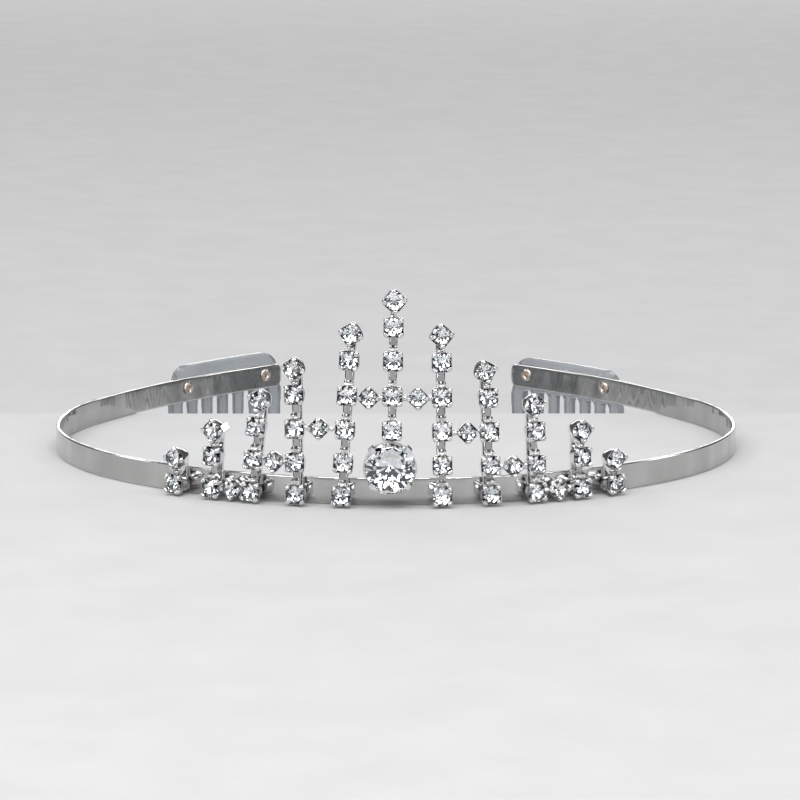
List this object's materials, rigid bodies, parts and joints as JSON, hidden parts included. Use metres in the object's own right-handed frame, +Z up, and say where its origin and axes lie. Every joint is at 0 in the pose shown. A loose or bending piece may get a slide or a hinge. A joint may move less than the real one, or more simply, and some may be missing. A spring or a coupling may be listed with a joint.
{
  "type": "tiara",
  "caption": "Springy metal headband with a pointed front crest of claw-set crystals and a riveted comb at each end; it holds a bride's hair and veil.",
  "frame": {"origin": "middle of the head opening, in the plane of the headband's lower edge", "axes": "+X to the right as seen from in front, +Y from the crest towards the open back, +Z up towards the tips of the crest"},
  "size_m": [0.1348, 0.1336, 0.0688],
  "materials": {
    "band_silver": "polished silver plate with fine hairline scratches",
    "setting_silver": "bright silver-plated stamped metal",
    "stem_silver": "silver-plated strip, slightly dull from soldering",
    "crystal": "clear faceted crystal with a silver foil back",
    "comb_plastic": "smoky clear moulded plastic",
    "rivet_copper": "pale copper-coloured semi-tubular rivet"
  },
  "bodies": {
    "root": {"headband": "band_silver", "stem_l5": "stem_silver", "stem_l4": "stem_silver", "stem_l3": "stem_silver", "stem_l2": "stem_silver", "stem_l1": "stem_silver", "stem_c": "stem_silver", "stem_r1": "stem_silver", "stem_r2": "stem_silver", "stem_r3": "stem_silver", "stem_r4": "stem_silver", "stem_r5": "stem_silver", "links_l5": "setting_silver", "links_l4": "setting_silver", "links_l3": "setting_silver", "links_l2": "setting_silver", "links_l1": "setting_silver", "links_c": "setting_silver", "links_r1": "setting_silver", "links_r2": "setting_silver", "links_r3": "setting_silver", "links_r4": "setting_silver", "links_r5": "setting_silver", "settings_l5": "setting_silver", "settings_l4": "setting_silver", "settings_l3": "setting_silver", "settings_l2": "setting_silver", "settings_l1": "setting_silver", "settings_c": "setting_silver", "settings_r1": "setting_silver", "settings_r2": "setting_silver", "settings_r3": "setting_silver", "settings_r4": "setting_silver", "settings_r5": "setting_silver", "crystals_l5": "crystal", "crystals_l4": "crystal", "crystals_l3": "crystal", "crystals_l2": "crystal", "crystals_l1": "crystal", "crystals_c": "crystal", "crystals_r1": "crystal", "crystals_r2": "crystal", "crystals_r3": "crystal", "crystals_r4": "crystal", "crystals_r5": "crystal", "cross_settings": "setting_silver", "cross_crystals": "crystal", "cross_bars": "setting_silver", "center_setting": "setting_silver", "center_crystal": "crystal", "comb_left": "comb_plastic", "comb_right": "comb_plastic", "rivets_left": "rivet_copper", "rivets_right": "rivet_copper"}
  },
  "joints": []
}
